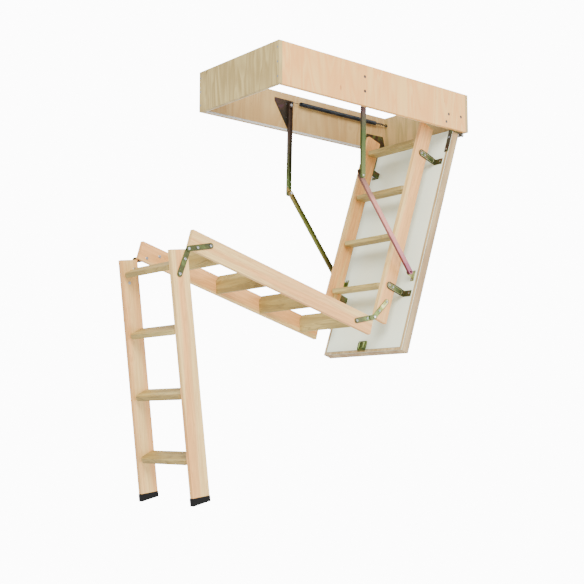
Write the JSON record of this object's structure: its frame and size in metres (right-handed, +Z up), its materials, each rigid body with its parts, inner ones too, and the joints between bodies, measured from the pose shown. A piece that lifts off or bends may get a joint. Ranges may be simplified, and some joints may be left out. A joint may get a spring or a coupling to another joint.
{
  "type": "folding loft ladder",
  "caption": "Timber loft ladder in three hinged sections, carried on an insulated hatch that drops from a plywood casing on sprung folding arms.",
  "frame": {"origin": "centre of the casing opening, in the plane of the casing's lower edge (the ceiling)", "axes": "+X towards the end where the hatch is hinged, +Z up into the loft, +Y across the opening"},
  "size_m": [1.6743, 0.57, 1.9211],
  "materials": {
    "plywood": "smooth bare plywood, fine vertical grain",
    "pine": "bare planed pine",
    "white_board": "pale lacquered fibreboard",
    "insulation": "light insulation, hidden inside the hatch",
    "seal": "soft white sealing profile",
    "yellow_zinc": "yellow-chromated zinc-plated sheet steel",
    "bright_zinc": "bright zinc-plated steel",
    "spring_steel": "dark oiled spring steel",
    "black_plastic": "black moulded plastic"
  },
  "bodies": {
    "casing": {"casing_side_front": "plywood", "casing_side_back": "plywood", "casing_end_free": "plywood", "casing_end_hinge": "plywood", "corner_screws": "bright_zinc", "seal_strip": "seal", "arm_bracket_front": "yellow_zinc", "arm_bracket_back": "yellow_zinc", "hinge_plate_front": "yellow_zinc", "hinge_plate_back": "yellow_zinc", "plate_bolts": "bright_zinc", "spring_front": "spring_steel", "spring_back": "spring_steel", "spring_eyes": "bright_zinc", "latch_keeper": "yellow_zinc"},
    "hatch_hinge_pins": {"hatch_hinge_pins": "bright_zinc"},
    "hatch": {"hatch_inner_skin": "white_board", "hatch_core": "insulation", "hatch_rim": "pine", "hatch_outer_skin": "white_board", "hatch_straps": "yellow_zinc", "latch_case": "yellow_zinc", "arm_feet": "yellow_zinc", "arm_foot_rivets": "bright_zinc", "stile_brackets": "yellow_zinc", "hatch_screws": "bright_zinc", "upper_stile_front": "pine", "upper_stile_back": "pine", "upper_tread_1": "pine", "upper_tread_2": "pine", "upper_tread_3": "pine", "upper_tread_4": "pine", "upper_leaves": "yellow_zinc"},
    "latch_cam": {"latch_cam": "yellow_zinc"},
    "upper_fold_rivets": {"upper_fold_rivets": "bright_zinc"},
    "middle_section": {"middle_stile_front": "pine", "middle_stile_back": "pine", "middle_tread_1": "pine", "middle_tread_2": "pine", "middle_tread_3": "pine", "middle_tread_4": "pine", "middle_leaves": "yellow_zinc", "middle_bolts": "bright_zinc"},
    "lower_section": {"lower_stile_front": "pine", "lower_stile_back": "pine", "lower_tread_1": "pine", "lower_tread_2": "pine", "lower_tread_3": "pine", "lower_tread_4": "pine", "lower_leaves": "yellow_zinc", "lower_bolts": "bright_zinc", "lower_fold_rivets": "bright_zinc", "foot_caps": "black_plastic"},
    "arm_pivot_pins": {"arm_pivot_pins": "bright_zinc"},
    "upper_arms": {"upper_arm_front": "yellow_zinc", "upper_arm_back": "yellow_zinc"},
    "elbow_pins": {"elbow_pins": "bright_zinc"},
    "lower_arms": {"lower_arm_front": "yellow_zinc", "lower_arm_back": "yellow_zinc"}
  },
  "joints": [
    {"name": "hatch_pins_turn", "type": "hinge", "parent": "casing", "child": "hatch_hinge_pins", "pos_m": [0.581, 0, -0.012], "axis": [0, 1, 0], "range_deg": [0, 35.4]},
    {"name": "hatch_turn", "type": "hinge", "parent": "hatch_hinge_pins", "child": "hatch", "pos_m": [0.581, 0, -0.012], "axis": [0, 1, 0], "range_deg": [0, 35.4]},
    {"name": "latch_turn", "type": "hinge", "parent": "hatch", "child": "latch_cam", "pos_m": [0.14155, 0, -1.05499], "axis": [-0.9444, 0, 0.3289], "range_deg": [-90, 0]},
    {"name": "upper_fold_pins_turn", "type": "hinge", "parent": "hatch", "child": "upper_fold_rivets", "pos_m": [0.03466, 0, -0.93624], "axis": [0, 1, 0], "range_deg": [0, 46.5]},
    {"name": "upper_fold_turn", "type": "hinge", "parent": "upper_fold_rivets", "child": "middle_section", "pos_m": [0.03466, 0, -0.93624], "axis": [0, 1, 0], "range_deg": [-86.9, 46.5]},
    {"name": "lower_fold_turn", "type": "hinge", "parent": "middle_section", "child": "lower_section", "pos_m": [-0.98799, 0, -0.73265], "axis": [0, -1, 0], "range_deg": [-113.2, 66.8]},
    {"name": "arm_pivot_pins_turn", "type": "hinge", "parent": "casing", "child": "arm_pivot_pins", "pos_m": [-0.08, 0, 0.128], "axis": [0, 1, 0], "range_deg": [0, 69.5], "deforming": ["spring_front", "spring_back"]},
    {"name": "upper_arms_turn", "type": "hinge", "parent": "arm_pivot_pins", "child": "upper_arms", "pos_m": [-0.08, 0, 0.128], "axis": [0, 1, 0], "range_deg": [0, 69.5]},
    {"name": "elbow_pins_turn", "type": "hinge", "parent": "upper_arms", "child": "elbow_pins", "pos_m": [-0.0909, 0, -0.31287], "axis": [0, -1, 0], "range_deg": [0, 72.4]},
    {"name": "lower_arms_turn", "type": "hinge", "parent": "elbow_pins", "child": "lower_arms", "pos_m": [-0.0909, 0, -0.31287], "axis": [0, -1, 0], "range_deg": [0, 72.4]}
  ],
  "couplings": [
    {"joint": "arm_pivot_pins_turn", "follows": "hatch_pins_turn", "ratio": 1.95},
    {"joint": "upper_arms_turn", "follows": "hatch_turn", "ratio": 1.95},
    {"joint": "elbow_pins_turn", "follows": "hatch_pins_turn", "ratio": 2.03},
    {"joint": "lower_arms_turn", "follows": "hatch_turn", "ratio": 2.03}
  ]
}
